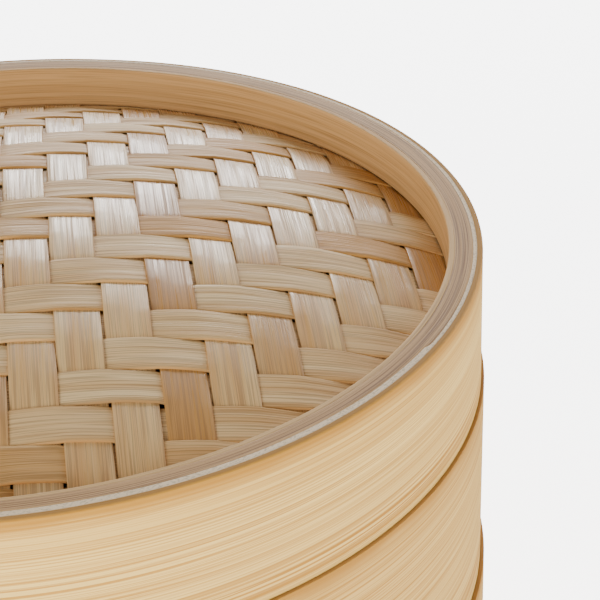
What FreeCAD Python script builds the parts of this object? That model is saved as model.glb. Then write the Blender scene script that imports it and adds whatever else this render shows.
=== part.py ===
import FreeCAD, Part

# Two-tier bamboo steamer with a domed, woven lid.
#
# Every ring is a laminated hoop about the Z axis. The origin is the centre of the
# circle that the lower tier stands on, +Z is up, and +Y runs away from the front.
# In each tier and in the lid the outer hoop and the middle ply reach down past the
# inner hoop as a skirt. The inner hoop of the tier below stands proud as a spigot
# inside that skirt, and the inner hoop above rests on it.

import math
import os
import re

import Sketcher

MM = FreeCAD.Vector

SIZES = {
    # hoops
    "bore_radius": 123.7,
    "hoop_wall": 4.0,
    "edge_wall": 1.5,
    "ring_wall": 3.0,
    "lid_ply": 1.8,
    "lid_veneer": 1.5,
    "tier_veneer": 1.8,
    "upper_ply": 2.4,
    "lower_ply": 3.3,
    "lid_height": 37.9,
    "tier_height": 55.7,
    "spigot_height": 9.0,
    "spigot_clearance": 0.4,
    "joint_gap": 0.4,
    "seam_angle": 140.0,
    "seam_gap": 0.6,
    # rack of a tier
    "base_ring_height": 5.0,
    "clamp_ring_height": 6.0,
    "bar_width": 12.0,
    "bar_height": 4.0,
    "bar_spacing": 62.0,
    "slat_thickness": 2.2,
    "slat_gap": 3.5,
    "fit": 0.2,
    # pegs
    "peg_radius": 1.2,
    "peg_clearance": 0.1,
    "seam_peg_offset": 5.0,
    "seam_peg_head": 0.4,
    "lid_peg_inset": 3.0,
    "tier_peg_inset": 7.0,
    # woven top of the lid
    "weave_depth": 13.0,
    "dome_rise": 21.5,
    "strip_thickness": 0.7,
    "strip_gap": 0.6,
    "weave_clearance": 0.15,
    "warp_pitch": 11.6,
    "weft_pitch": 11.0,
    "warp_shift": 2.8,
    "weft_shift": -4.5,
    "weave_turn": -2.8,
    "rib_width": 14.0,
    "rib_thickness": 2.5,
}

SLAT_COUNT = 11
RING_PEG_COUNT = 8
FLOAT_LENGTH = 2
SHORTEST_STRIP = 30.0

doc = FreeCAD.newDocument("BambooSteamer")
sheet = doc.addObject("Spreadsheet::Sheet", "Sizes")
for row, (alias, number) in enumerate(SIZES.items(), start=1):
    sheet.set(f"A{row}", alias)
    sheet.set(f"B{row}", str(number))
    sheet.setAlias(f"B{row}", alias)
doc.recompute()

pieces = []


def size(alias):
    """The number that the sheet holds under this alias."""
    return float(sheet.get(alias))


def formula(text):
    """The expression, with each alias in it written as a cell of the sheet."""
    return re.sub(r"[a-z_]+", lambda word: cell(word.group()), text)


def cell(word):
    return f"Sizes.{word}" if word in SIZES else word


def bind(thing, prop, text):
    thing.setExpression(prop, formula(text))


def keep(thing, name):
    """Marks a finished object as a piece of the steamer, under its own name."""
    thing.Label = name
    pieces.append(thing)
    return thing


# ---------------------------------------------------------------- sketches

def datum(body, role):
    """A plane or axis of the body's own origin."""
    return next(f for f in body.Origin.OriginFeatures if f.Role == role)


def new_sketch(body, name, role):
    sketch = body.newObject("Sketcher::SketchObject", name)
    sketch.AttachmentSupport = [(datum(body, role), "")]
    sketch.MapMode = "FlatFace"
    return sketch


def outline(sketch, corners):
    """A closed outline of upright and level lines through corners.

    Each corner is (x, y), two formulas in the sheet's names. Every corner is held
    by its distances from the sketch's origin.
    """
    count = len(corners)
    for index in range(count):
        here = MM(index % 2, index, 0)
        there = MM((index + 1) % 2, index + 1, 0)
        sketch.addGeometry(Part.LineSegment(here, there), False)
    for index in range(count):
        following = (index + 1) % count
        sketch.addConstraint(
            Sketcher.Constraint("Coincident", index, 2, following, 1))
    for index, corner in enumerate(corners):
        for kind, text in zip(("DistanceX", "DistanceY"), corner):
            number = sketch.addConstraint(
                Sketcher.Constraint(kind, -1, 1, index, 1, 1.0 + index))
            bind(sketch, f"Constraints[{number}]", text)


def rectangle(sketch, left, right, low, high):
    outline(sketch, [(left, low), (right, low), (right, high), (left, high)])


def circles(sketch, centres, radius):
    """Circles of one radius, each held by its centre, as formulas."""
    for index, centre in enumerate(centres):
        circle = Part.Circle(MM(index, index, 0), MM(0, 0, 1), 1.0)
        sketch.addGeometry(circle, False)
        for kind, text in zip(("DistanceX", "DistanceY"), centre):
            number = sketch.addConstraint(
                Sketcher.Constraint(kind, -1, 1, index, 3, 1.0 + index))
            bind(sketch, f"Constraints[{number}]", text)
        number = sketch.addConstraint(Sketcher.Constraint("Radius", index, 1.0))
        bind(sketch, f"Constraints[{number}]", radius)


# ---------------------------------------------------------------- hoops

def hoop(name, corners, base, turned=True):
    """A ring turned from an outline in the XZ plane, lifted to its base."""
    body = doc.addObject("PartDesign::Body", name)
    profile = new_sketch(body, f"{name}_section", "XZ_Plane")
    outline(profile, corners)
    ring = body.newObject("PartDesign::Revolution", f"{name}_ring")
    ring.Profile = profile
    ring.ReferenceAxis = (profile, ["V_Axis"])
    ring.Angle = 360.0
    body.Tip = ring
    bind(body, "Placement.Base.z", base)
    if turned:
        body.Placement.Rotation = FreeCAD.Rotation(MM(0, 0, 1), size("seam_angle"))
    return keep(body, name)


def box_section(inner, outer, low, high):
    """The four corners of a plain hoop's section."""
    return [(inner, low), (outer, low), (outer, high), (inner, high)]


def cut_outward(body, sketch, name, both_ways=False):
    """Cuts a sketch in the YZ plane through the wall on +X, or on both sides."""
    doc.recompute()
    before = body.Shape.Volume
    pocket = body.newObject("PartDesign::Pocket", name)
    pocket.Profile = sketch
    pocket.Type = "ThroughAll"
    pocket.Reversed = True
    pocket.Midplane = both_ways
    body.Tip = pocket
    doc.recompute()
    if body.Shape.Volume >= before:
        raise RuntimeError(f"{name} cuts nothing")
    return pocket


def cut_seam(body):
    """Parts the hoop at its seam, where the ends of the bent strip meet."""
    slot = new_sketch(body, f"{body.Name}_seam", "YZ_Plane")
    rectangle(slot, "-seam_gap / 2", "seam_gap / 2", "-1", "tier_height * 2")
    cut_outward(body, slot, f"{body.Name}_seam_cut")


def cut_seam_holes(body, spots):
    holes = new_sketch(body, f"{body.Name}_seam_holes", "YZ_Plane")
    circles(holes, spots, "peg_radius + peg_clearance")
    cut_outward(body, holes, f"{body.Name}_seam_holes_cut")


def cut_ring_holes(body, height):
    """Holes for the ring pegs, evenly round the hoop and clear of its seam."""
    hole = new_sketch(body, f"{body.Name}_ring_hole", "YZ_Plane")
    circles(hole, [("0", height)], "peg_radius + peg_clearance")
    hole.AttachmentOffset = FreeCAD.Placement(
        MM(0, 0, 0), FreeCAD.Rotation(MM(0, 1, 0), first_ring_peg_turn()))
    first = cut_outward(body, hole, f"{body.Name}_ring_hole_cut")
    before = body.Shape.Volume
    pattern = body.newObject("PartDesign::PolarPattern", f"{body.Name}_ring_holes")
    pattern.Originals = [first]
    pattern.Axis = (datum(body, "Z_Axis"), [""])
    pattern.Angle = 360.0
    pattern.Occurrences = RING_PEG_COUNT
    body.Tip = pattern
    doc.recompute()
    if body.Shape.Volume >= before:
        raise RuntimeError(f"{body.Name} has one ring hole only")


def first_ring_peg_turn():
    """Half a step of the ring pegs, in degrees from the seam."""
    return 180.0 / RING_PEG_COUNT


# ---------------------------------------------------------------- pegs

def peg(name, inner, outer, height, sideways, turn):
    """A round peg that lies along a radius, `turn` degrees round from +X."""
    rod = doc.addObject("Part::Cylinder", name)
    bind(rod, "Radius", "peg_radius")
    bind(rod, "Height", f"({outer}) - ({inner})")
    upright_to_radial = FreeCAD.Rotation(MM(0, 1, 0), 90)
    round_axis = FreeCAD.Rotation(MM(0, 0, 1), turn)
    rod.Placement.Rotation = round_axis.multiply(upright_to_radial)
    bind(rod, "Placement.Base.x", f"({inner}) * cos({turn}) - ({sideways}) * sin({turn})")
    bind(rod, "Placement.Base.y", f"({inner}) * sin({turn}) + ({sideways}) * cos({turn})")
    bind(rod, "Placement.Base.z", height)
    return rod


def peg_group(name, pegs, base):
    """Loose pegs gathered as one piece of separate solids."""
    group = doc.addObject("Part::Compound", name)
    group.Links = pegs
    group.Placement.Rotation = FreeCAD.Rotation(MM(0, 0, 1), size("seam_angle"))
    bind(group, "Placement.Base.z", base)
    return keep(group, name)


def ring_pegs(name, inner, outer, height, base):
    step = 360.0 / RING_PEG_COUNT
    turns = [first_ring_peg_turn() + step * index for index in range(RING_PEG_COUNT)]
    rods = [peg(f"{name}_{index}", inner, outer, height, "0", turn)
            for index, turn in enumerate(turns, start=1)]
    peg_group(name, rods, base)


def seam_pegs(name, outer, spots, base):
    inner = "bore_radius - hoop_wall + fit"
    rods = [peg(f"{name}_{index}", inner, f"{outer} + seam_peg_head", height, across, 0)
            for index, (across, height) in enumerate(spots, start=1)]
    peg_group(name, rods, base)


def seam_spots(low, high, inset):
    """Two pegs on each side of the seam, one near the low edge, one near the high."""
    return [(across, height)
            for across in ("-seam_peg_offset", "seam_peg_offset")
            for height in (f"{low} + {inset}", f"{high} - {inset}")]


# ---------------------------------------------------------------- tiers

BASE_TOP = "spigot_height + base_ring_height"
SLAT_TOP = f"{BASE_TOP} + slat_thickness"
CLAMP_TOP = f"{SLAT_TOP} + clamp_ring_height"
HOOP_INSIDE = "bore_radius - hoop_wall"
RING_INSIDE = "bore_radius - hoop_wall - ring_wall"


def inner_hoop_section():
    """The tier's inner hoop, with its spigot shaved back to slide in a skirt."""
    spigot = "bore_radius - spigot_clearance"
    top = "tier_height + spigot_height"
    return [
        (HOOP_INSIDE, "spigot_height"),
        ("bore_radius", "spigot_height"),
        ("bore_radius", "tier_height"),
        (spigot, "tier_height"),
        (spigot, top),
        (HOOP_INSIDE, top),
    ]


def trimmed_to_ring(name, half_length, low, high, middle, half_width, base):
    """A flat bar along X, cut at both ends to the round of the inner hoop."""
    blank = doc.addObject("Part::Box", f"{name}_blank")
    bind(blank, "Length", f"2 * ({half_length})")
    bind(blank, "Width", f"2 * ({half_width})")
    bind(blank, "Height", f"({high}) - ({low})")
    bind(blank, "Placement.Base.x", f"-({half_length})")
    bind(blank, "Placement.Base.y", f"({middle}) - ({half_width})")
    bind(blank, "Placement.Base.z", low)
    bound = doc.addObject("Part::Cylinder", f"{name}_bound")
    bind(bound, "Radius", half_length)
    bind(bound, "Height", high)
    bar = doc.addObject("Part::Common", name)
    bar.Base = blank
    bar.Tool = bound
    bind(bar, "Placement.Base.z", base)
    return keep(bar, name)


def rack(tier, base):
    """Base ring, bars let into it, slats across the bars, and the clamp ring."""
    ring = hoop(f"{tier}_base_ring",
                box_section(RING_INSIDE, HOOP_INSIDE, "spigot_height", BASE_TOP),
                base, turned=False)
    bars = {"front": "-bar_spacing", "middle": "0", "rear": "bar_spacing"}
    for place, middle in bars.items():
        notch = new_sketch(ring, f"{tier}_{place}_notch", "YZ_Plane")
        rectangle(notch, f"{middle} - bar_width / 2 - fit",
                  f"{middle} + bar_width / 2 + fit",
                  f"{BASE_TOP} - bar_height", f"{BASE_TOP} + 1")
        cut_outward(ring, notch, f"{tier}_{place}_notch_cut", both_ways=True)
        trimmed_to_ring(f"{tier}_rack_bar_{place}", f"{HOOP_INSIDE} - fit",
                        f"{BASE_TOP} - bar_height", BASE_TOP,
                        middle, "bar_width / 2", base)
    pitch = f"2 * ({RING_INSIDE}) / {SLAT_COUNT}"
    for index in range(SLAT_COUNT):
        step = index - (SLAT_COUNT - 1) / 2
        name = f"{tier}_rack_slat_{index + 1:02d}"
        slat = trimmed_to_ring(name, f"{HOOP_INSIDE} - fit", BASE_TOP, SLAT_TOP,
                               f"{step} * ({pitch})",
                               f"({pitch} - slat_gap) / 2", base)
        slat.Placement.Rotation = FreeCAD.Rotation(MM(0, 0, 1), 90)
    clamp = hoop(f"{tier}_clamp_ring",
                 box_section(RING_INSIDE, HOOP_INSIDE, SLAT_TOP, CLAMP_TOP), base)
    cut_ring_holes(clamp, f"{SLAT_TOP} + clamp_ring_height / 2")


def tier(name, ply, skirt, base):
    """One steaming tier: three laminated hoops round a slatted rack."""
    ply_outside = f"bore_radius + {ply}"
    outside = f"{ply_outside} + tier_veneer"
    outer = hoop(f"{name}_outer_hoop",
                 box_section(ply_outside, outside, skirt, "tier_height"), base)
    middle = hoop(f"{name}_middle_ply",
                  box_section("bore_radius", ply_outside, skirt, "tier_height"), base)
    inner = hoop(f"{name}_inner_hoop", inner_hoop_section(), base)
    cut_seam(outer)
    spots = seam_spots(CLAMP_TOP, "tier_height", "tier_peg_inset")
    for body in (outer, middle, inner):
        cut_seam_holes(body, spots)
    cut_ring_holes(inner, f"{SLAT_TOP} + clamp_ring_height / 2")
    rack(name, base)
    ring_pegs(f"{name}_ring_pegs", RING_INSIDE, "bore_radius - fit",
              f"{SLAT_TOP} + clamp_ring_height / 2", base)
    seam_pegs(f"{name}_seam_pegs", outside, spots, base)


# ---------------------------------------------------------------- lid

LID_BASE = "tier_height * 2"
WEAVE_LEVEL = "lid_height - weave_depth"
WEAVE_HALF = "strip_thickness + weave_clearance / 2"


def lid_hoops():
    ply_outside = "bore_radius + lid_ply"
    outside = f"{ply_outside} + lid_veneer"
    edge_low = f"{WEAVE_LEVEL} + {WEAVE_HALF} + fit"
    outer = hoop("lid_outer_hoop",
                 box_section(ply_outside, outside, "joint_gap", "lid_height"), LID_BASE)
    middle = hoop("lid_middle_ply",
                  box_section("bore_radius", ply_outside, "joint_gap", "lid_height"),
                  LID_BASE)
    inner = hoop("lid_inner_hoop",
                 box_section(HOOP_INSIDE, "bore_radius", "spigot_height", "lid_height"),
                 LID_BASE)
    hoop("lid_edge_hoop",
         box_section(f"{HOOP_INSIDE} - edge_wall", HOOP_INSIDE, edge_low, "lid_height"),
         LID_BASE)
    clamp = hoop("lid_clamp_ring",
                 box_section(RING_INSIDE, HOOP_INSIDE, "spigot_height", clamp_level()),
                 LID_BASE)
    cut_seam(outer)
    spots = seam_spots(edge_low, "lid_height", "lid_peg_inset")
    for body in (outer, middle, inner):
        cut_seam_holes(body, spots)
    peg_height = f"(spigot_height + {clamp_level()}) / 2"
    for body in (inner, clamp):
        cut_ring_holes(body, peg_height)
    ring_pegs("lid_ring_pegs", RING_INSIDE, "bore_radius - fit", peg_height, LID_BASE)
    seam_pegs("lid_seam_pegs", outside, spots, LID_BASE)


def clamp_level():
    """Top of the clamp ring: just under the weave where the strips end."""
    fall = "dome_rise * (1 - (bore_radius - hoop_wall)^2 / (bore_radius - hoop_wall - edge_wall)^2)"
    return f"({WEAVE_LEVEL} + {fall} - {WEAVE_HALF} - fit)"


def weave_radius():
    """Where the weave meets the edge hoop and the dome starts to rise."""
    return size("bore_radius") - size("hoop_wall") - size("edge_wall")


def trim_radius():
    """Where the strips' ends stop, short of the inner hoop."""
    return size("bore_radius") - size("hoop_wall") - size("fit")


def dome_drop(distance):
    """How far the dome lies below its crown at this distance from the axis."""
    return size("dome_rise") * (distance / weave_radius()) ** 2


def arched_strip(stations, offset, width, thickness):
    """A flat strip along X that follows the dome.

    stations holds (x, height above the dome). The side outline through them is
    drawn out sideways along the dome's slope at the strip's own offset in Y.
    """
    top = []
    for x, lift in stations:
        height = lift + thickness / 2 - dome_drop(math.hypot(x, offset))
        top.append(MM(x, 0, height))
    bottom = [point - MM(0, 0, thickness) for point in reversed(top)]
    side = Part.Face(Part.makePolygon(top + bottom + top[:1]))
    slope = -2 * size("dome_rise") * offset / weave_radius() ** 2
    across = MM(0, width, slope * width)
    side.translate(MM(0, offset, 0) - across / 2)
    return side.extrude(across)


def crossings(pitch, shift):
    """(index, middle) of each strip in a row of this pitch that meets the dome."""
    reach = int(trim_radius() / pitch) + 2
    return [(index, shift + pitch * (index + 0.5)) for index in range(-reach, reach)]


def over(along, across):
    """Whether a weft strip passes over a warp strip in the 2/2 twill."""
    return (along - across) % (2 * FLOAT_LENGTH) < FLOAT_LENGTH


def strip_set(own_pitch, own_shift, other_pitch, other_shift, is_weft):
    """All the strips that run one way, along X, trimmed to the round.

    The warp is turned a quarter afterwards, which flips the side its offsets count to.
    """
    side = 1 if is_weft else -1
    thickness = size("strip_thickness")
    lift = (thickness + size("weave_clearance")) / 2
    radius = trim_radius()
    rim = Part.makeCylinder(radius, 4 * size("dome_rise"),
                            MM(0, 0, -2 * size("dome_rise")))
    half_other = (other_pitch - size("strip_gap")) / 2
    width = own_pitch - size("strip_gap")
    strips = []
    for own, own_middle in crossings(own_pitch, own_shift):
        far_side = abs(own_middle) + width / 2
        if far_side < radius:
            chord = 2 * math.sqrt(radius ** 2 - far_side ** 2)
        else:
            chord = 0.0
        if chord < SHORTEST_STRIP:
            continue
        stations = []
        for other, middle in crossings(other_pitch, other_shift):
            on_top = over(other, own) if is_weft else not over(own, other)
            height = lift if on_top else -lift
            stations.append((middle - half_other, height))
            stations.append((middle + half_other, height))
        blank = arched_strip(stations, side * own_middle, width, thickness)
        strips.append(blank.common(rim).Solids[0])
    return strips


def woven_piece(name, strips, turn):
    """The strips of one direction as a single piece, set into the lid."""
    piece = doc.addObject("Part::Feature", name)
    piece.Shape = Part.makeCompound(strips)
    crown = size("lid_height") - size("weave_depth") + size("dome_rise")
    lid_base = 2 * size("tier_height")
    piece.Placement = FreeCAD.Placement(
        MM(0, 0, lid_base + crown), FreeCAD.Rotation(MM(0, 0, 1), turn))
    return keep(piece, name)


def weave():
    """Weft strips run across the lid, warp strips run from front to back."""
    warp = (size("warp_pitch"), size("warp_shift"))
    weft = (size("weft_pitch"), size("weft_shift"))
    turn = size("weave_turn")
    woven_piece("lid_weft_strips", strip_set(*weft, *warp, is_weft=True), turn)
    woven_piece("lid_warp_strips", strip_set(*warp, *weft, is_weft=False), turn + 90)


def bow_rib(name, depth, turn):
    """A bent splint sprung between the walls of the clamp ring, under the dome."""
    ring_inside = size("bore_radius") - size("hoop_wall") - size("ring_wall")
    half = math.sqrt(ring_inside ** 2 - (size("rib_width") / 2) ** 2) - size("fit")
    thickness = size("rib_thickness")
    steps = 12
    stations = [(half * (2 * index / steps - 1), -depth - thickness / 2)
                for index in range(steps + 1)]
    solid = arched_strip(stations, 0.0, size("rib_width"), thickness)
    woven_piece(name, [solid], turn)


def bow_ribs():
    """Two ribs that cross at the crown, the second one below the first."""
    below_weave = size("strip_thickness") + size("weave_clearance") / 2 + 2 * size("fit")
    turn = size("weave_turn") + 45
    bow_rib("lid_bow_rib_upper", below_weave, turn)
    second = below_weave + size("rib_thickness") + size("fit")
    bow_rib("lid_bow_rib_lower", second, turn + 90)


# ---------------------------------------------------------------- assembly

tier("lower_tier", "lower_ply", "0", "0")
tier("upper_tier", "upper_ply", "joint_gap", "tier_height")
lid_hoops()
weave()
bow_ribs()
doc.recompute()

for thing in doc.Objects:
    if "Invalid" in thing.State or "Error" in thing.State:
        raise RuntimeError(f"{thing.Label} failed: {thing.State}")
for piece in pieces:
    if piece.Shape.isNull() or not piece.Shape.isValid():
        raise RuntimeError(f"{piece.Label} has no valid shape")

os.makedirs("parts", exist_ok=True)
for piece in pieces:
    piece.Shape.exportStep(f"parts/{piece.Label}.step")
    print(piece.Label, len(piece.Shape.Solids), round(piece.Shape.Volume, 1))
print(len(pieces), "pieces")
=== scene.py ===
# %% [markdown]
# # A two-tier bamboo steamer
#
# The steamer is two round tiers with slatted racks and a domed, woven lid. This
# notebook dresses its CAD model: the model stays as the frame that says where every
# piece is, and each piece that shows is made again here with the detail of real
# bamboo. The first step loads the frame and keeps its size, so that the last step
# can show that nothing grew.

import math

import bpy
import numpy as np
from mathutils import Matrix, Vector


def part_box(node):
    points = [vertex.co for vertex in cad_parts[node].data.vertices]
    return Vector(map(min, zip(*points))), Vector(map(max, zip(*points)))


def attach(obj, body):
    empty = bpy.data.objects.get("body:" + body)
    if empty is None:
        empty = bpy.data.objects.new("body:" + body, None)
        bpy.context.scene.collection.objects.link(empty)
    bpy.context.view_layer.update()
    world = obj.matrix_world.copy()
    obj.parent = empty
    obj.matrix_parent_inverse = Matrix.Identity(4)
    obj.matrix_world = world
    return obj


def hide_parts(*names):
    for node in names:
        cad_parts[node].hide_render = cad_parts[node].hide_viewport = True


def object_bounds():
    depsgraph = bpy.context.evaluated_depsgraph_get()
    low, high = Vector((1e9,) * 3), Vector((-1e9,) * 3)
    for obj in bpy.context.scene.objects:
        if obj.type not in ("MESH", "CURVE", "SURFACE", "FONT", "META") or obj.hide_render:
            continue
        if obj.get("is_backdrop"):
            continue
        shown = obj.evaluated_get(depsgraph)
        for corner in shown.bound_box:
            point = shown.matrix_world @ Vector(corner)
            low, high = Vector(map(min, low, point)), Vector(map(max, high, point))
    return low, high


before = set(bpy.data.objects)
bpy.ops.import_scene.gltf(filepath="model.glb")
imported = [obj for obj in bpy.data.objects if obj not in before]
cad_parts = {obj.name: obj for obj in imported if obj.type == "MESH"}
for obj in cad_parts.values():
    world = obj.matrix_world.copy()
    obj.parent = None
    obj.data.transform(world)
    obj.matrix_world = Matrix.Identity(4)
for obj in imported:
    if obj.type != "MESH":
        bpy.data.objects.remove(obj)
cad_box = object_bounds()

# %% [markdown]
# ## Measuring the frame
#
# Every hoop, ring and bar is measured on its CAD node, so that one size is written
# only once, in the CAD. A node's own corners say how far from the axis it starts and
# ends, which its box alone can't say.

# %% Measure the nodes
MM = 0.001


def node_points(node):
    """The corners of a node, one row for each."""
    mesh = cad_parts[node].data
    co = np.empty(len(mesh.vertices) * 3)
    mesh.vertices.foreach_get("co", co)
    return co.reshape(-1, 3)


def ring_size(node):
    """Least and greatest distance from the Z axis, then lowest and highest Z."""
    co = node_points(node)
    reach = np.hypot(co[:, 0], co[:, 1])
    return reach.min(), reach.max(), co[:, 2].min(), co[:, 2].max()


edge_inside, edge_outside, _, rim_top = ring_size("lid_edge_hoop")
print(f"the lid's rim is {rim_top / MM:.1f} mm up, {edge_inside / MM:.1f} mm inside")

# %% [markdown]
# ## Camera
#
# The view is a close one, from the front and above, on the right half of the lid. A
# long lens keeps the hoops from looking stretched. The camera is turned a little
# about its own axis, so the way it faces is worked out as a matrix from three angles.

# %% Place the camera
YAW, PITCH, ROLL = 0.16595, 0.50491, 0.03018
CAMERA_PLACE = (0, -0.47949, 0.39101)
LENS, SENSOR = 122.0965, 36
NEAREST = 0.01
ahead = Vector((math.sin(YAW) * math.cos(PITCH), math.cos(YAW) * math.cos(PITCH),
                -math.sin(PITCH)))
level = Vector((math.cos(YAW), -math.sin(YAW), 0))
below = ahead.cross(level)
across = math.cos(ROLL) * level + math.sin(ROLL) * below
down = math.cos(ROLL) * below - math.sin(ROLL) * level
turn = Matrix((across, -down, -ahead)).transposed().to_4x4()

camera_data = bpy.data.cameras.new("camera")
camera_data.lens = LENS
camera_data.sensor_width = SENSOR
camera_data.clip_start = NEAREST
camera = bpy.data.objects.new("camera", camera_data)
camera.matrix_world = Matrix.Translation(CAMERA_PLACE) @ turn
bpy.context.scene.collection.objects.link(camera)
bpy.context.scene.camera = camera
print("the camera looks down", round(math.degrees(PITCH), 1), "degrees")

# %% [markdown]
# ## Mesh helpers
#
# Hoops, strips, slats and pegs are all one kind of surface: a closed section carried
# along a path. numpy works out every point at once, as an array with one row for each
# step along the path and one column for each point round the section, and the helper
# below turns such arrays into a mesh. It also stores the direction of the fibres on
# each point, because all the finishes follow the fibres. A section can run either way
# round, so the sign of the volume decides which way the faces are turned.


# %% Turn arrays of points into a mesh
def tube_faces(steps, sides, closed, first):
    """Quads between neighbouring rings, with a cap on each end of an open tube.

    Point (a, b) has the number first + a * sides + b. Each quad joins it to its
    neighbours in a and in b, and b wraps round.
    """
    rings = steps if closed else steps - 1
    a, b = np.meshgrid(np.arange(rings), np.arange(sides), indexing="ij")
    a_next, b_next = (a + 1) % steps, (b + 1) % sides
    corners = [(a, b), (a, b_next), (a_next, b_next), (a_next, b)]
    quads = np.stack([first + i * sides + j for i, j in corners], -1).reshape(-1, 4)
    if closed:
        return quads.ravel(), np.full(len(quads), 4)
    last = first + (steps - 1) * sides
    caps = [np.arange(first, first + sides)[::-1], np.arange(last, last + sides)]
    loops = np.concatenate([quads.ravel(), *caps])
    return loops, np.concatenate([np.full(len(quads), 4), [sides, sides]])


def volume_of(points):
    """Signed volume of a tube: half of each ring's own area times its step, summed.

    Only its sign matters, which says whether the section runs the right way round.
    """
    centre = points.mean(axis=1, keepdims=True)
    spoke = points - centre
    area = np.cross(spoke, np.roll(spoke, -1, axis=1)).sum(axis=1) / 2
    step = np.diff(centre[:, 0], axis=0)
    return (area[:-1] * step).sum()


def tubes(name, parts, closed=False):
    """One object from many tubes.

    Each part is (points, fibres, marks): points and fibres are arrays of steps by
    sides by 3, and marks is a dict of arrays of steps by sides.
    """
    loops, totals, first = [], [], 0
    for points, _, _ in parts:
        steps, sides = points.shape[:2]
        part_loops, part_totals = tube_faces(steps, sides, closed, first)
        if volume_of(points) < 0:
            ends = np.cumsum(part_totals)
            starts = ends - part_totals
            place = np.arange(len(part_loops))
            owner = np.repeat(np.arange(len(part_totals)), part_totals)
            part_loops = part_loops[starts[owner] + ends[owner] - 1 - place]
        loops.append(part_loops)
        totals.append(part_totals)
        first += steps * sides
    co = np.concatenate([points.reshape(-1, 3) for points, _, _ in parts])
    loops, totals = np.concatenate(loops), np.concatenate(totals)

    mesh = bpy.data.meshes.new(name)
    mesh.vertices.add(len(co))
    mesh.vertices.foreach_set("co", co.ravel())
    mesh.loops.add(len(loops))
    mesh.loops.foreach_set("vertex_index", loops)
    mesh.polygons.add(len(totals))
    mesh.polygons.foreach_set("loop_start", np.cumsum(totals) - totals)
    mesh.polygons.foreach_set("use_smooth", totals == 4)
    mesh.update(calc_edges=True)
    fibres = np.concatenate([fibre.reshape(-1, 3) for _, fibre, _ in parts])
    store = mesh.attributes.new("fibre", "FLOAT_VECTOR", "POINT")
    store.data.foreach_set("vector", fibres.ravel().astype(np.float32))
    for mark in parts[0][2]:
        values = np.concatenate([marks[mark].ravel() for _, _, marks in parts])
        store = mesh.attributes.new(mark, "FLOAT", "POINT")
        store.data.foreach_set("value", values.astype(np.float32))
    mesh.validate()
    piece = bpy.data.objects.new(name, mesh)
    bpy.context.scene.collection.objects.link(piece)
    print(f"{name}: {len(co)} points, {len(totals)} faces")
    return piece


def settle(piece, body, slot, material, *nodes):
    """Gives a piece its finish, its body and the CAD nodes that it stands for."""
    piece.data.materials.append(material)
    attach(piece, body)
    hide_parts(*nodes)
    return piece


# %% [markdown]
# ## Sections and slow wander
#
# Split and shaved bamboo has no sharp edge, so every section is a rectangle whose
# corners are quarter circles. Hand work is never quite even either: a sum of a few
# slow waves, whose phases come from a seed, bends each edge by a tenth of a
# millimetre or so. The waves fit whole numbers of times round the hoop, so that it
# closes.


# %% Make sections and wander
ARRIS = 0.12 * MM


def rounded_box(left, right, low, high, radii, sides=(7, 7, 7, 7), arc=4):
    """A closed section through its four rounded corners.

    The corners come in the order low left, low right, high right, high left. Each
    is a quarter circle, centre plus radius times (cos, sin), and the straight sides
    between them are cut into even steps.
    """
    spots = [(left, low), (right, low), (right, high), (left, high)]
    inward = [(1, 1), (-1, 1), (-1, -1), (1, -1)]
    runs = []
    for index, ((x, y), (sx, sy)) in enumerate(zip(spots, inward)):
        radius = radii[index]
        angle = math.pi + index * math.pi / 2 + np.linspace(0, math.pi / 2, arc)
        runs.append(np.stack([x + sx * radius + radius * np.cos(angle),
                              y + sy * radius + radius * np.sin(angle)], -1))
    section = []
    for index, run in enumerate(runs):
        following = runs[(index + 1) % 4]
        share = np.linspace(0, 1, sides[index] + 1)[1:-1, None]
        section += [run, run[-1] * (1 - share) + following[0] * share]
    return np.concatenate(section)


def wander(angle, seed, waves=(2, 3, 5, 8, 13)):
    """Between -1 and 1: a sum of cosines, each slower one a little stronger."""
    dice = np.random.default_rng(seed)
    phase = dice.uniform(0, 2 * math.pi, len(waves))
    weight = dice.uniform(0.5, 1, len(waves)) / np.sqrt(waves)
    terms = [w * np.cos(n * angle + p) for n, w, p in zip(waves, weight, phase)]
    return sum(terms) / weight.sum()


def smoothstep(low, high, value):
    """0 below low, 1 above high, and 3t^2 - 2t^3 between them."""
    share = np.clip((value - low) / (high - low), 0, 1)
    return share * share * (3 - 2 * share)


print("a section of 10 by 2 mm has",
      len(rounded_box(0, 10 * MM, 0, 2 * MM, [ARRIS] * 4)), "points")

# %% [markdown]
# ## Shader maths
#
# A finish is a graph of nodes, and most of them are sums and products. A small class
# wraps one socket and overloads the operators, so a finish reads like a formula. The
# `node` method adds any other kind of node: its settings go in first, because a
# node's sockets can depend on them.


# %% Write shader graphs as expressions
class Value:
    """A number that varies over a surface: one output of a finish's graph."""

    def __init__(self, finish, socket):
        self.finish = finish
        self.socket = socket

    def _math(self, operation, first, second):
        settings = {"operation": operation}
        return self.finish.node("ShaderNodeMath", settings, {0: first, 1: second})

    def __add__(self, other):
        return self._math("ADD", self, other)

    def __sub__(self, other):
        return self._math("SUBTRACT", self, other)

    def __rsub__(self, other):
        return self._math("SUBTRACT", other, self)

    def __mul__(self, other):
        return self._math("MULTIPLY", self, other)

    __radd__ = __add__
    __rmul__ = __mul__


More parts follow.
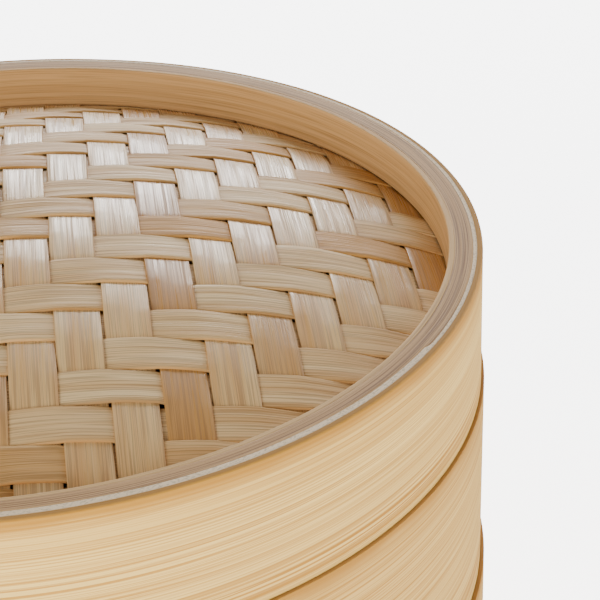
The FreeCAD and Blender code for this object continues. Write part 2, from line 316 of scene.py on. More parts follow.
class Finish:
    """A material and its graph, which ends in one Principled shader."""

    def __init__(self, name):
        self.material = bpy.data.materials.new(name)
        self.material.use_nodes = True
        self.nodes = self.material.node_tree.nodes
        self.links = self.material.node_tree.links
        self.shader = self.nodes["Principled BSDF"]

    def node(self, kind, settings, inputs, output=0):
        """Adds a node, sets it up, feeds it, and wraps one of its outputs."""
        made = self.nodes.new(kind)
        for key, setting in settings.items():
            setattr(made, key, setting)
        for key, source in inputs.items():
            self.feed(made.inputs[key], source)
        return Value(self, made.outputs[output])

    def feed(self, socket, source):
        """Links a value to a socket, or sets a plain number or colour on it."""
        if isinstance(source, Value):
            self.links.new(source.socket, socket)
        else:
            socket.default_value = source

    def mix(self, share, first, second):
        """first times (1 - share) plus second times share, for colours.

        A Mix node has sockets for each kind of data. Its colours are the inputs 6
        and 7 and the output 2.
        """
        colours = [c if isinstance(c, Value) else (*c, 1) for c in (first, second)]
        inputs = {0: share, 6: colours[0], 7: colours[1]}
        return self.node("ShaderNodeMix", {"data_type": "RGBA"}, inputs, 2)

    def mark(self, name):
        """A number that the mesh carries on its points."""
        return self.node("ShaderNodeAttribute", {"attribute_name": name}, {}, 2)

    def threshold(self, value, low, high):
        """0 below low and 1 above high, with a soft step between."""
        settings = {"interpolation_type": "SMOOTHSTEP"}
        inputs = {"Value": value, "From Min": low, "From Max": high}
        return self.node("ShaderNodeMapRange", settings, inputs)

    def streaks(self, length, width, seed, detail=2.0):
        """Noise drawn out along the fibres: length and width are in metres."""
        fibre = self.node("ShaderNodeAttribute", {"attribute_name": "fibre"}, {}, 1)
        place = {"Vector": fibre, "Location": (seed * 7.31, seed * 3.77, seed * 5.13),
                 "Scale": (1 / length, 1 / length, 1 / width)}
        spot = self.node("ShaderNodeMapping", {}, place)
        inputs = {"Vector": spot, "Scale": 1.0, "Detail": detail, "Roughness": 0.6}
        return self.node("ShaderNodeTexNoise", {}, inputs)

    def close(self, colour, roughness, height, depth, strength=1.0, **constants):
        """Feeds the shader: colour, roughness, and a bump of this depth in metres."""
        bump = self.node("ShaderNodeBump", {},
                         {"Height": height, "Distance": depth, "Strength": strength})
        self.feed(self.shader.inputs["Base Color"], colour)
        self.feed(self.shader.inputs["Roughness"], roughness)
        self.feed(self.shader.inputs["Normal"], bump)
        for name, number in constants.items():
            self.shader.inputs[name.replace("_", " ")].default_value = number
        return self.material


def tint(red, green, blue):
    """A colour given in 0 to 255, as the linear numbers that a shader takes.

    This is the sRGB curve: a power of 2.4, with a straight start for the darks.
    """
    share = np.array([red, green, blue]) / 255
    curve = np.where(share > 0.04045, ((share + 0.055) / 1.055) ** 2.4, share / 12.92)
    return tuple(float(c) for c in curve)


print("mid grey is", round(tint(128, 128, 128)[0], 3), "in linear numbers")

# %% [markdown]
# ## Finish of the outer bands
#
# The bands are shaved from the culm's outer wood and are only wiped with oil, so
# they are a pale straw colour with a low satin gloss. Thousands of fibre bundles run
# round them. Drawn-out noises stand for them: broad light and dark bands, golden lines
# about a millimetre apart that come in groups, hair-thin fibres, and a few single
# lines that stand alone. The wood turns golden below the top edge, most of all in the
# last few millimetres, where the saw has opened the pores. The sawn edge itself is
# brown and dull, because there the bundles are seen end on.


# %% Make the outer bands' finish
def band_finish(name, pale, line, edge, rim):
    """Pale wood with lines, warmer below its top edge, and its own colour on top.

    Each layer is a share, from a noise or from the distance below the top edge, that
    moves the colour so far from the one below it towards line, edge or rim.
    """
    finish = Finish(name)
    broad = finish.streaks(0.40, 0.0100, 1)
    bundle = finish.streaks(0.60, 0.0050, 2, 1.0)
    medium = finish.streaks(0.20, 0.00085, 14, 1.0)
    fine = finish.streaks(0.12, 0.00030, 3, 1.0)
    single = finish.streaks(0.30, 0.00055, 21, 0.0)
    blotch = finish.streaks(0.03, 0.012, 4)
    colour = finish.mix(finish.threshold(broad, 0.35, 0.68) * 0.35, pale, line)
    below = finish.mark("below") + 0.004 * (broad - 0.5) + 0.004 * (blotch - 0.5)
    near_edge = 1 - finish.threshold(below, 0.0010, 0.0042)
    warm = 1 - finish.threshold(below, 0.0020, 0.0150)
    colour = finish.mix(warm * 0.3, colour, line)
    colour = finish.mix(near_edge * 0.9, colour, edge)
    lines = finish.threshold(medium, 0.515, 0.575)
    grouped = 0.3 + 0.7 * finish.threshold(bundle, 0.44, 0.58)
    colour = finish.mix(lines * grouped, colour, edge)
    colour = finish.mix(finish.threshold(fine, 0.50, 0.57) * 0.65, colour, line)
    colour = finish.mix(finish.threshold(single, 0.60, 0.64) * 0.6, colour, edge)
    top = finish.mark("top")
    colour = finish.mix(top, colour, rim)
    rough = 0.42 + 0.18 * blotch + 0.25 * top
    return finish.close(colour, rough, fine + 0.6 * medium, 0.00006, 0.5,
                        Specular_IOR_Level=0.16)


outer_band = band_finish("outer_band", tint(200, 164, 88), tint(162, 117, 40),
                         tint(154, 104, 22), tint(168, 124, 64))
print("made", outer_band.name)

# %% [markdown]
# ## Finish of the sawn rims
#
# Seen from above, a hoop shows the edges of the strips that it is wound from. They
# are duller and browner than the faces, with dark hairlines where one layer of fibres
# meets the next. The pattern reads the same fibre direction as the bands, so it turns
# into rings on the flat rim by itself. The thick laminate is brown and close-ringed,
# the packing ply beside it is pale and dry, and the thin edge ply is light.


# %% Make the rims' finishes
def rim_finish(name, pale, deep, line, face, contrast, crumb=0.0):
    """A ringed, sawn top where the mark top is 1, and a plain wall where it is 0.

    contrast is how dark the rings are, and crumb how dry and speckled the top is.
    """
    finish = Finish(name)
    broad = finish.streaks(0.25, 0.0016, 5)
    rings = finish.streaks(0.07, 0.00032, 6, 2.0)
    fine = finish.streaks(0.03, 0.00022, 7, 1.0)
    grain = finish.streaks(0.0009, 0.0004, 15, 2.0)
    top = finish.mark("top")
    edge = finish.mix(finish.threshold(broad, 0.38, 0.64) * 0.45, pale, deep)
    dark = finish.threshold(rings, 0.47, 0.62) * contrast
    edge = finish.mix(dark, edge, line)
    edge = finish.mix(finish.threshold(grain, 0.5, 0.62) * crumb, edge, line)
    wall = finish.mix(finish.threshold(broad, 0.36, 0.7) * 0.6, face, deep)
    wall = finish.mix(finish.threshold(fine, 0.47, 0.66) * 0.35, wall, line)
    colour = finish.mix(top, wall, edge)
    rough = 0.46 + 0.2 * fine
    return finish.close(colour, rough, rings + 0.5 * fine, 0.00008, 0.55,
                        Specular_IOR_Level=0.10)


laminate = rim_finish("laminate", tint(190, 149, 98), tint(160, 118, 72),
                      tint(94, 60, 34), tint(210, 162, 104), 0.68, 0.1)
pale_ply = rim_finish("pale_ply", tint(228, 205, 170), tint(206, 180, 144),
                      tint(140, 116, 90), tint(206, 166, 108), 0.16, 0.45)
edge_ply = rim_finish("edge_ply", tint(206, 166, 108), tint(186, 138, 80),
                      tint(130, 92, 52), tint(214, 166, 106), 0.4)
print("made", laminate.name, pale_ply.name, edge_ply.name)

# %% [markdown]
# ## Finish of the woven strips
#
# The strips are split thinner than a millimetre, so their long fibres lie bare at the
# surface. Light runs along the fibres but scatters across them, which is why the
# strips that point at the light shine like satin while the ones that cross them stay
# dull. Fine ridges along the fibres give that: the bump is strong, and the strips
# that run front to back are a little smoother. Each strip has its own tone, from
# grey straw to orange, stored on its points.


# %% Make the woven strips' finishes
def strip_finish(name, pale, deep, orange, rough, gloss, ridge):
    """Straw that its tone moves towards orange, with ridges of this depth in metres."""
    finish = Finish(name)
    tone = finish.mark("tone")
    broad = finish.streaks(0.12, 0.0045, 8)
    bundle = finish.streaks(0.08, 0.0012, 9, 2.0)
    hair = finish.streaks(0.030, 0.00032, 10, 1.0)
    side = finish.mark("side")
    colour = finish.mix(finish.threshold(broad, 0.32, 0.7), pale, deep)
    colour = finish.mix(finish.threshold(bundle, 0.48, 0.7) * 0.45, colour, deep)
    colour = finish.mix(finish.threshold(tone, 0.35, 1.0), colour, orange)
    colour = finish.mix(side * 0.4, colour, orange)
    dark = finish.threshold(hair, 0.46, 0.60) * 0.42
    colour = finish.mix(dark, colour, tint(118, 78, 38))
    spread = rough + 0.8 * (hair - 0.5) + 0.5 * (bundle - 0.5) + 0.3 * side
    return finish.close(colour, spread, hair + 0.6 * bundle, ridge, 0.6,
                        Specular_IOR_Level=gloss)


weft_finish = strip_finish("weft_strip", tint(228, 196, 142), tint(206, 164, 106),
                           tint(196, 144, 76), 0.56, 0.18, 0.00016)
warp_finish = strip_finish("warp_strip", tint(226, 190, 130), tint(206, 158, 96),
                           tint(184, 132, 68), 0.36, 0.46, 0.00012)
print("made", weft_finish.name, warp_finish.name)

# %% [markdown]
# ## Finish of the rack and the pegs
#
# The slats, bars, rings and ribs are rougher inner wood, which is paler and fuzzier,
# with coarser fibres that stand out as dark dashes. The pegs are whittled from the
# same wood and show a dark, open end.


# %% Make the inner wood's finish
def inner_wood(name, pale, deep, dash, width):
    """Pale wood with dark dashes of this width in metres."""
    finish = Finish(name)
    broad = finish.streaks(0.30, 0.006, 11)
    dashes = finish.streaks(0.018, width, 12, 2.0)
    fine = finish.streaks(0.03, 0.00030, 13, 1.0)
    colour = finish.mix(finish.threshold(broad, 0.32, 0.7), pale, deep)
    colour = finish.mix(finish.threshold(dashes, 0.56, 0.7) * 0.5, colour, dash)
    colour = finish.mix(finish.threshold(fine, 0.5, 0.8) * 0.2, colour, dash)
    return finish.close(colour, 0.55 + 0.2 * fine, fine + dashes, 0.00008, 0.5,
                        Specular_IOR_Level=0.2)


rack_wood = inner_wood("rack_wood", tint(214, 184, 136), tint(198, 160, 108),
                       tint(150, 108, 64), 0.0008)
peg_wood = inner_wood("peg_wood", tint(158, 112, 58), tint(132, 90, 44),
                      tint(78, 50, 26), 0.0005)
print("made", rack_wood.name, peg_wood.name)

# %% [markdown]
# ## Hoops
#
# A hoop is a strip soaked, bent round a form and pinned. Its section is carried
# round the axis here: the point (radius, height) of the section goes to radius times
# (cos, sin) of the angle. A hoop that shows its seam is an open tube from one side of
# the seam to the other, and the rest are closed. The outer wall of a band sways by
# almost a tenth of a millimetre, and no top edge is quite level, as hand-sawn edges
# never are.


# %% Make a hoop from its node's sizes
STEPS_ROUND = 540
SEAM = math.radians(140)
HALF_SEAM = 0.3 * MM
SHAVING = 0.4 * MM
print(f"a hoop has a point every {2 * math.pi * edge_outside / STEPS_ROUND / MM:.1f} mm")


def hoop(node, body, slot, material, seed, lips=(0.1, 0.1), level=0.08, sway=0.0,
         flare=0.0, seam=False, inside=None, outside=None, shaved=None, foot=0.0):
    """A hoop of the node's own size, in its finish.

    lips are the radii of its top corners, inside and outside, level how far its top
    edge wanders, sway how far its outer wall does, and flare how much wider it is at
    its foot, and foot how much lower it reaches, all in millimetres. inside and
    outside, functions of the angle, move its two walls. Above the height shaved, its
    outer wall is one shaving further in.
    """
    inner, outer, low, high = ring_size(node)
    low -= foot * MM
    radii = [ARRIS, ARRIS, lips[1] * MM, lips[0] * MM]
    section = rounded_box(inner, outer, low, high, radii, (3, 9, 8, 9))
    if shaved:
        wall = np.flatnonzero(section[:, 0] > outer - 0.01 * MM)
        near = wall[np.argsort(np.abs(section[wall, 1] - shaved))[:2]]
        near = near[np.argsort(section[near, 1])]
        section[near, 1] = shaved - 0.1 * MM, shaved + 0.1 * MM
        share = (section[:, 0] - inner) / (outer - inner)
        section[:, 0] -= SHAVING * share * (section[:, 1] > shaved)
    if seam:
        gap = HALF_SEAM / outer
        angle = SEAM + np.linspace(gap, 2 * math.pi - gap, STEPS_ROUND)
    else:
        angle = SEAM + np.linspace(0, 2 * math.pi, STEPS_ROUND, endpoint=False)
    angle = angle[:, None]
    reach, height = section[:, 0], section[:, 1]
    outward = (reach - inner) / (outer - inner)
    upward = (height - low) / (high - low)
    slow, uneven = wander(angle, seed), wander(angle, seed + 50, (3, 7, 11, 17, 29))
    radius = reach + outward * (sway * slow + flare * (1 - upward)) * MM
    if inside:
        radius = radius + (1 - outward) * inside(angle)
    if outside:
        radius = radius + outward * outside(angle)
    z = height + smoothstep(0.8, 1.0, upward) * level * uneven * MM
    points = np.stack([radius * np.cos(angle), radius * np.sin(angle), z], -1)
    fibre = np.stack([points[..., 0], points[..., 1], z + radius], -1)
    top = smoothstep(high - 0.5 * max(radii), high - 0.1 * max(radii), height)
    under = high - height
    marks = {"top": np.broadcast_to(top, z.shape),
             "below": np.broadcast_to(under, z.shape)}
    piece = tubes(node + "_bent", [(points, fibre, marks)], closed=not seam)
    return settle(piece, body, slot, material, node)


# %% [markdown]
# ## Hoops of the lid and the tiers
#
# The lid has four hoops at its rim: the thin edge ply that holds the weave down, the
# thick laminate, a pale packing ply, and the outer band. The packing ply takes up
# whatever the laminate leaves, so the line between them wanders and has one sudden
# step where a layer of the laminate ends. A tier has three hoops, and its laminate
# stands up inside the hoop above. The bands that rest on another one reach a little
# lower than their nodes, so the line at each joint is as fine as on a well-fitted lid.


# %% Bend the hoops
LAYER_END = math.radians(-38.5)
FOOT = 0.22


def ply_line(angle):
    """Where the laminate meets the packing ply: a wander with one step in it.

    The step comes in within 0.012 radians and fades out from 2 to 5.5 radians on.
    """
    turned = (angle - LAYER_END) % (2 * math.pi)
    step = smoothstep(0, 0.012, turned) - smoothstep(2.0, 5.5, turned)
    return (0.16 * wander(angle, 71, (2, 5, 9, 14, 23)) + 0.75 * step) * MM


hoop("lid_outer_hoop", "lid", "hoop_veneer", outer_band, 1, (0.08, 0.65), level=0.10,
     sway=0.08, flare=0.08, seam=True, foot=FOOT)
hoop("lid_middle_ply", "lid", "pale_ply", pale_ply, 2, level=0.10, inside=ply_line)
hoop("lid_inner_hoop", "lid", "laminate", laminate, 3, level=0.06, outside=ply_line)
hoop("lid_edge_hoop", "lid", "edge_ply", edge_ply, 4, (0.35, 0.06), level=0.10)
hoop("lid_clamp_ring", "lid", "ring", rack_wood, 5, (0.3, 0.3))
for tier, seed, flare, foot in (("upper_tier", 10, -0.25, FOOT),
                                ("lower_tier", 20, 0.0, 0.0)):
    hoop(f"{tier}_outer_hoop", tier, "hoop_veneer", outer_band, seed, (0.08, 0.15),
         level=0.06, sway=0.08, flare=flare, seam=True, foot=foot)
    hoop(f"{tier}_middle_ply", tier, "pale_ply", pale_ply, seed + 1, level=0.05)
    hoop(f"{tier}_inner_hoop", tier, "laminate", laminate, seed + 2, (0.4, 0.4),
         shaved=ring_size(f"{tier}_outer_hoop")[3] - 0.1 * MM)
    hoop(f"{tier}_base_ring", tier, "ring", rack_wood, seed + 3, (0.3, 0.3), level=0)
    hoop(f"{tier}_clamp_ring", tier, "ring", rack_wood, seed + 4, (0.4, 0.4))

# %% [markdown]
# ## How the strips lie in the weave
#
# The lid is a 2/2 twill: each strip goes over two and under two, one step further
# along in each row. Strips are springy, so they arch over a pair and squeeze
# under the next, and they twist at the corners, which opens the small dark holes
# between them. Drawing that by hand looks stiff, so it is worked out: one repeat of
# the twill is relaxed until no strip bends more than it must and none cuts another.
# One repeat is enough, because every strip is the first one moved on by a step.

# %% Relax one repeat of the twill
CELL = 9
REPEAT = 4 * CELL
STRIP = 0.70 * MM
STIFF_ALONG, TAUT = 60.0, 0.15
STIFF_ACROSS = 1.5


def springy(size, bend, pull, closed):
    """A matrix that turns pushed heights into the heights of a springy strip.

    It solves h + bend * (h'' twice) - pull * h'' = pushed, on evenly spaced points
    that are either a closed round or a strip with free ends.
    """
    eye = np.eye(size)
    curve = np.roll(eye, 1, 0) + np.roll(eye, -1, 0) - 2 * eye
    if not closed:
        curve[[0, -1]] = 0
    return np.linalg.inv(eye + bend * curve.T @ curve - pull * curve * closed)


def relaxed_twill(rounds=1500):
    """Heights of the first weft and the first warp strip, across by along.

    Each round lets every strip spring back along and across itself, and then pushes
    apart, by half of what is missing, each pair that is closer than it may be.
    """
    step = np.arange(REPEAT) // CELL
    over = (step[None, :] - step[:, None]) % 4 < 2
    along = springy(REPEAT, STIFF_ALONG, TAUT, True)
    across = springy(CELL, STIFF_ACROSS, 0.0, False)
    weft, warp = np.zeros((REPEAT, REPEAT)), np.zeros((REPEAT, REPEAT))
    apart = 1.08 * STRIP
    for _ in range(rounds):
        weft, warp = weft @ along, along @ warp
        weft = (across @ weft.reshape(4, CELL, REPEAT)).reshape(REPEAT, REPEAT)
        warp = (across @ warp.T.reshape(4, CELL, REPEAT)).reshape(REPEAT, REPEAT).T
        gap = np.where(over, weft - warp, warp - weft)
        push = np.maximum(apart - gap, 0) / 2 * np.where(over, 1, -1)
        weft, warp = weft + push, warp - push
    return weft[:CELL], warp[:, :CELL].T


weft_lie, warp_lie = relaxed_twill()
print(f"weft lies from {weft_lie.min() / MM:.2f} to {weft_lie.max() / MM:.2f} mm,",
      f"warp from {warp_lie.min() / MM:.2f} to {warp_lie.max() / MM:.2f} mm")

# %% [markdown]
# ## The dome
#
# The weave is pushed up into a shallow dome by two ribs below it, so the strips ride
# on a paraboloid: its height falls with the square of the distance from the axis.
# The whole weave is turned a little against the seam, and the warp and the weft each
# have their own pitch and start. The relaxed heights are known only at a few spots, so
# a helper reads them anywhere between.

# %% Set out the dome and the weave
TURN = math.radians(-2.8)
RISE = 21.5 * MM
WARP_PITCH, WARP_SHIFT = 11.6 * MM, 2.8 * MM
WEFT_PITCH, WEFT_SHIFT = 11.0 * MM, -4.5 * MM
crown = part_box("lid_weft_strips")[1].z - 1.11 * STRIP
trim = edge_outside - 0.25 * MM
print(f"the weave's middle is {crown / MM:.1f} mm up, its edge {trim / MM:.1f} mm out")


def dome(x, y):
    """Height of the middle of the weave at (x, y)."""
    return crown - RISE * (x * x + y * y) / edge_inside ** 2


def lie_at(table, phase, share):
    """The relaxed height at a phase along the repeat and a share of the width.

    The table's row is refined by its Fourier series, which is smooth and closes on
    itself, and then read in straight lines between neighbours.
    """
    finer = 8
    waves = np.fft.rfft(table, axis=1)
    fine = np.fft.irfft(waves, REPEAT * finer, axis=1) * finer
    column = (phase * CELL - 0.5) * finer % (REPEAT * finer)
    row = np.clip(share * (CELL - 1), 0, CELL - 1.001)
    c, r = np.floor(column).astype(int), np.floor(row).astype(int)
    dc, dr = column - c, row - r
    c_next = (c + 1) % (REPEAT * finer)
    low = fine[r, c] * (1 - dc) + fine[r, c_next] * dc
    high = fine[r + 1, c] * (1 - dc) + fine[r + 1, c_next] * dc
    return low * (1 - dr) + high * dr


# %% [markdown]
# ## One strip
#
# Each strip is a rounded section carried along a chord of the rim. Every line of the
# strip has its own chord, so the ends follow the round. Its height is the dome's,
# plus the twill's at that spot, flattened close to the rim where the edge ply clamps
# the ends. A strip also wanders a little sideways and is not equally wide all along.


# %% Carry a strip along its chord
GAP = 0.60 * MM
STRIP_LIP = 0.15 * MM
STRIP_STEP = 1.35 * MM
STRIP_SWAY, STRIP_CROWN = 0.22 * MM, 0.06 * MM
CLAMP_FROM, CLAMP_TO = 112 * MM, 118 * MM
print(f"a weft strip is {(WEFT_PITCH - GAP) / MM:.1f} mm wide,",
      f"a warp strip {(WARP_PITCH - GAP) / MM:.1f} mm")


def chord(offset, section, radius, step):
    """A section carried along a chord: arrays of along, across and depth.

    Each line of the section runs from -sqrt(radius^2 - across^2) to plus that.
    """
    side = offset + section[:, 0]
    half = np.sqrt(radius ** 2 - side ** 2)
    count = int(2 * half.max() / step) + 2
    along = np.linspace(-1, 1, count)[:, None] * half
    return along, np.broadcast_to(side, along.shape), \
        np.broadcast_to(section[:, 1], along.shape)


def woven(index, own, other, table, tone, is_weft, seed):
    """One strip of the weave, as a part for tubes().

    Its height is the dome's, plus the relaxed height, plus a crown that falls with
    the square of the distance from its middle line, plus the section's own depth.
    """
    own_pitch, own_shift = own
    other_pitch, other_shift = other
    offset = own_shift + own_pitch * (index + 0.5)
    width = own_pitch - GAP
    radii = [ARRIS, ARRIS, STRIP_LIP, STRIP_LIP]
    section = rounded_box(-width / 2, width / 2, -STRIP / 2, STRIP / 2, radii,
                          (4, 1, 8, 1), 3)
    along, side, depth = chord(offset, section, trim, STRIP_STEP)
    share = (side - offset) / width + 0.5
    phase = (along - other_shift) / other_pitch - index
    lie = lie_at(table, phase, share)
    dice = np.random.default_rng(seed)
    sway = STRIP_SWAY * np.sin(along / (30 * MM) + dice.uniform(0, 6))
    narrow = 0.02 * np.sin(along / (23 * MM) + dice.uniform(0, 6))
    crowned = STRIP_CROWN * (1 - (2 * share - 1) ** 2)
    side = side + sway + (side - offset) * narrow
    if is_weft:
        x, y = along, side
    else:
        x, y = side, along
    reach = np.hypot(x, y)
    flat = 1 - 0.45 * smoothstep(CLAMP_FROM, CLAMP_TO, reach)
    z = dome(x, y) + flat * (lie + crowned) + depth
    cos, sin = math.cos(TURN), math.sin(TURN)
    points = np.stack([cos * x - sin * y, sin * x + cos * y, z], -1)
    fibre = np.stack([along, np.full_like(along, 0.37 * seed), side], -1)
    edge = np.abs(share - 0.5) * 2
    marks = {"tone": np.full_like(along, tone) + 0.12 * np.sin(along / 0.025 + seed),
             "side": smoothstep(0.95, 1.0, edge)}
    return points, fibre, marks


# %% [markdown]
# ## The whole weave
#
# The weft runs across and the warp runs front to back. A strip is left out where its
# chord would be too short to be held. Most tones are drawn at random, and three warp
# strips are set darker orange. Strips 3 and -5 are set so for their orange wood. Strip 9,
# near the rim on the right, is orange partly for its wood and partly as painted shade
# and painted reflection of the walls.


# %% Weave the lid
SHORTEST = 14 * MM
# Strip 9's orange is partly painted shade and painted reflection of the walls beside it.
ORANGE_AND_PAINTED_SHADE = {3: 0.95, 9: 1.0, -5: 0.85}


def strip_indices(pitch, shift):
    """The strips whose chords are long enough to be held at both ends."""
    reach = int(trim / pitch) + 2
    for index in range(-reach, reach):
        far = abs(shift + pitch * (index + 0.5)) + (pitch - GAP) / 2
        if far < trim and math.sqrt(trim ** 2 - far ** 2) > SHORTEST:
            yield index


warp, weft = (WARP_PITCH, WARP_SHIFT), (WEFT_PITCH, WEFT_SHIFT)
dice = np.random.default_rng(5)
weft_parts = [woven(n, weft, warp, weft_lie, dice.uniform(0.1, 0.85), True, n + 100)
              for n in strip_indices(*weft)]
warp_parts = [woven(k, warp, weft, warp_lie, ORANGE_AND_PAINTED_SHADE.get(k, dice.uniform(0, 0.7)),
                    False, k + 200)
              for k in strip_indices(*warp)]
settle(tubes("lid_weft_woven", weft_parts), "lid", "weave", weft_finish,
       "lid_weft_strips")
settle(tubes("lid_warp_woven", warp_parts), "lid", "weave", warp_finish,
       "lid_warp_strips")

# %% [markdown]
# ## Bow ribs
#
# Two bent splints cross under the crown and keep the dome up. They are the same
# carried section on the same paraboloid, set lower, and turned half way between the
# two directions of the weave.


# %% Spring the ribs in
HALF_RIB, HALF_SPLINT = 7 * MM, 1.25 * MM


def bow_rib(node, turn):
    """A splint on the dome's own paraboloid, lowered until its top fits the node's."""
    section = rounded_box(-HALF_RIB, HALF_RIB, -HALF_SPLINT, HALF_SPLINT,
                          [0.4 * MM] * 4, (6, 2, 8, 2))
    inside = ring_size("lid_clamp_ring")[0] - 0.25 * MM
    along, side, depth = chord(0, section, inside, 2.5 * MM)
    drop = crown - (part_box(node)[1].z - HALF_SPLINT)
    z = dome(along, side) - drop + depth
    cos, sin = math.cos(turn), math.sin(turn)
    points = np.stack([cos * along - sin * side, sin * along + cos * side, z], -1)
    fibre = np.stack([along, np.full_like(along, turn), side + depth], -1)
    piece = tubes(node + "_bent", [(points, fibre, {})])
    return settle(piece, "lid", "rack", rack_wood, node)


bow_rib("lid_bow_rib_upper", TURN + math.radians(45))
bow_rib("lid_bow_rib_lower", TURN + math.radians(135))

# %% [markdown]
# ## Racks
#
# Food stands on slats that lie on three bars. Slats and bars are planks cut to the
# round at both ends, so they use the same chords as the weave. The slats' top edges
# are scraped round, and each one is a touch crowned and off level, because split
# bamboo keeps a little of the culm's curve.


# %% Lay the bars and the slats
def plank(node, lengthwise, lip, crowning, seed):
    """A part for tubes(): a plank of the node's size, cut to the round.

    Its upper face falls with the square of the distance from its middle line, and
    sinks and rises by a sine along it.
    """
    low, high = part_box(node)
    thick = high.z - low.z
    middle_z = (high.z + low.z) / 2
    if lengthwise:
        offset, width = (low.x + high.x) / 2, high.x - low.x
    else:
        offset, width = (low.y + high.y) / 2, high.y - low.y
    section = rounded_box(-width / 2, width / 2, -thick / 2, thick / 2,
                          [0.2 * MM, 0.2 * MM, lip * MM, lip * MM], (4, 2, 10, 2))
    radius = ring_size("lower_tier_base_ring")[1] - 0.2 * MM
    along, side, depth = chord(offset, section, radius, 3 * MM)
    share = (side - offset) / width
    upper = smoothstep(-0.5, 0.5, depth / thick)
    z = middle_z + depth - upper * crowning * MM * (4 * share ** 2)
    phase = np.random.default_rng(seed).uniform(0, 6)
    z = z - upper * 0.06 * MM * (1 + np.sin(along / 0.031 + phase))
    x, y = (side, along) if lengthwise else (along, side)
    points = np.stack([x, y, z], -1)
    fibre = np.stack([along, np.full_like(along, 0.53 * seed), side + depth], -1)
    return points, fibre, {}


for tier, seed in (("upper_tier", 300), ("lower_tier", 400)):
    slats = [f"{tier}_rack_slat_{number:02d}" for number in range(1, 12)]
    parts = [plank(node, True, 0.8, 0.35, seed + i) for i, node in enumerate(slats)]
    settle(tubes(f"{tier}_slats", parts), tier, "rack", rack_wood, *slats)
    bars = [f"{tier}_rack_bar_{place}" for place in ("front", "middle", "rear")]
    parts = [plank(node, False, 0.5, 0.05, seed + 20 + i)
             for i, node in enumerate(bars)]
    settle(tubes(f"{tier}_bars", parts), tier, "rack", rack_wood, *bars)

# %% [markdown]
# ## Pegs
#
# Bamboo pegs, not nails, hold everything: two on each side of every seam, and eight
# through each clamp ring. A peg is a circle carried along a radius, and the circle
# shrinks over the last steps so that both ends are domed.


# %% Drive the pegs
PEG_RADIUS = 1.2 * MM
PEG_TIP = 0.35 * MM
PEG_SIDES = 20
FROM_SEAM = 5 * MM


def peg(inner, outer, angle, sideways, height):
    """A part for tubes(): a round peg along a radius, with domed ends.

    It is a circle carried from inner to outer, whose radius at each step is a share
    of the peg's own.
    """
    dome_share = np.array([0.35, 0.75, 0.95, 1.0, 1.0, 0.95, 0.75, 0.35])
    dent = PEG_TIP * np.array([0, 0.15, 0.5, 1, -1, -0.5, -0.15, 0])
    steps = len(dent)
    place = np.where(np.arange(steps) < steps // 2, inner + dent, outer + dent)
    around = np.linspace(0, 2 * math.pi, PEG_SIDES, endpoint=False)
    out = np.broadcast_to(place[:, None], (steps, PEG_SIDES))
    side = sideways + PEG_RADIUS * dome_share[:, None] * np.cos(around)
    z = height + PEG_RADIUS * dome_share[:, None] * np.sin(around)
    cos, sin = math.cos(angle), math.sin(angle)
    points = np.stack([cos * out - sin * side, sin * out + cos * side, z], -1)
    fibre = np.stack([out, np.full_like(side, angle), side + z], -1)
    return points, fibre, {}


def node_span(node, direction):
    """How far the node reaches along a direction, from and to."""
    reach = node_points(node) @ direction
    return reach.min(), reach.max()


seam_way = np.array([math.cos(SEAM), math.sin(SEAM), 0])
for group in ("lid", "upper_tier", "lower_tier"):
    node = f"{group}_seam_pegs"
    inner, outer = node_span(node, seam_way)
    low, high = node_span(node, np.array([0, 0, 1]))
    parts = [peg(inner, outer, SEAM, side, height)
             for side in (-FROM_SEAM, FROM_SEAM)
             for height in (low + PEG_RADIUS, high - PEG_RADIUS)]
    settle(tubes(node + "_whittled", parts), group, "peg", peg_wood, node)
    node = f"{group}_ring_pegs"
    inner, outer, low, high = ring_size(node)
    turns = SEAM + np.radians(22.5 + 45 * np.arange(8))
    parts = [peg(inner - 0.3 * MM, outer, angle, 0, (low + high) / 2)
             for angle in turns]
    settle(tubes(node + "_whittled", parts), group, "peg", peg_wood, node)

# %% [markdown]
# ## Floor and light
#
# The steamer stands on a wide white floor that glows softly, so it is lit from all
# round, as on a light table. Right under the steamer the floor doesn't glow, which
# keeps the holes in the weave dark. One large soft lamp stands in front on the left,
# and another low behind it, which skims the weave and brings up the sheen of the
# strips that point at it. A weaker one stands on the right. The sky is a plain soft
# white.


# %% Set the floor and the lights
FLOOR_REACH, FLOOR_TOP = 40.0, -0.0002
FLOOR_GLOW, SKY_GLOW = 5.0, 0.3
DARK_TO, GLOW_FROM = 0.116, 0.125

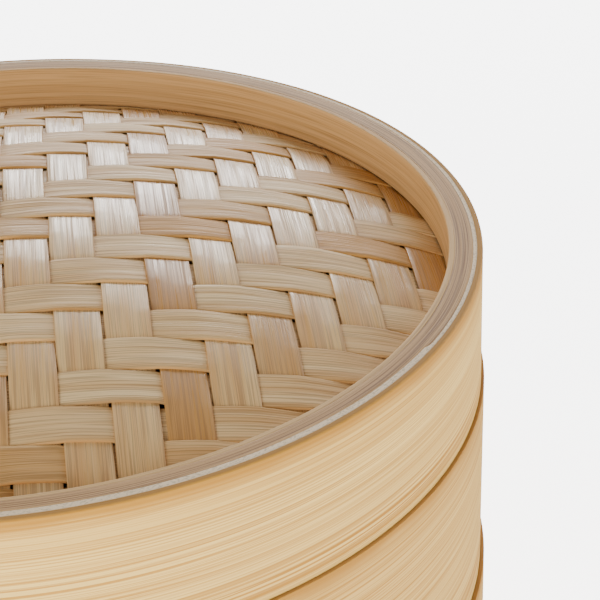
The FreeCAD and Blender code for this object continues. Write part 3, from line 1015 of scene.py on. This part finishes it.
floor_finish = Finish("floor")
floor_finish.shader.inputs["Base Color"].default_value = (0.9, 0.9, 0.9, 1)
floor_finish.shader.inputs["Roughness"].default_value = 0.9
place = floor_finish.node("ShaderNodeNewGeometry", {}, {})
away = floor_finish.node("ShaderNodeVectorMath", {"operation": "LENGTH"}, {0: place}, 1)
glow = floor_finish.mix(floor_finish.threshold(away, DARK_TO, GLOW_FROM),
                        (0.02, 0.02, 0.02), (1.0, 1.0, 1.0))
floor_finish.feed(floor_finish.shader.inputs["Emission Color"], glow)
floor_finish.shader.inputs["Emission Strength"].default_value = FLOOR_GLOW
floor_mesh = bpy.data.meshes.new("floor")
corners = [(x * FLOOR_REACH, y * FLOOR_REACH, FLOOR_TOP)
           for x, y in ((-1, -1), (1, -1), (1, 1), (-1, 1))]
floor_mesh.from_pydata(corners, [], [(0, 1, 2, 3)])
floor_mesh.materials.append(floor_finish.material)
floor = bpy.data.objects.new("floor", floor_mesh)
bpy.context.scene.collection.objects.link(floor)
floor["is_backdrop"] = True
floor.visible_glossy = False

world = bpy.data.worlds.new("studio")
world.use_nodes = True
sky = world.node_tree.nodes["Background"]
sky.inputs["Color"].default_value = (1.0, 1.0, 1.0, 1)
sky.inputs["Strength"].default_value = SKY_GLOW
bpy.context.scene.world = world


def lamp(name, place, aim, size, power):
    """A square soft box at place that faces the point aim."""
    light = bpy.data.lights.new(name, "AREA")
    light.shape = "SQUARE"
    light.size = size
    light.energy = power
    holder = bpy.data.objects.new(name, light)
    way = Vector(aim) - Vector(place)
    holder.matrix_world = Matrix.Translation(place) @ \
        way.to_track_quat("-Z", "Y").to_matrix().to_4x4()
    holder.visible_camera = False
    bpy.context.scene.collection.objects.link(holder)


lamp("key", (-0.85, -1.2, 0.60), (0, 0, 0.10), 0.8, 26)
lamp("back", (0.30, 1.5, 0.72), (0, 0, 0.13), 0.8, 27)
lamp("side", (1.3, 0.7, 0.50), (0, 0, 0.13), 0.7, 12)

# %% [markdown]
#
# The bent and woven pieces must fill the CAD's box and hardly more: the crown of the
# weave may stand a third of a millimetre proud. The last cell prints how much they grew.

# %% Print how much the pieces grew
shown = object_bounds()
growth = (shown[1] - shown[0]) - (cad_box[1] - cad_box[0])
print("wider, deeper and taller than the CAD by",
      [round(g / MM, 2) for g in growth], "mm")
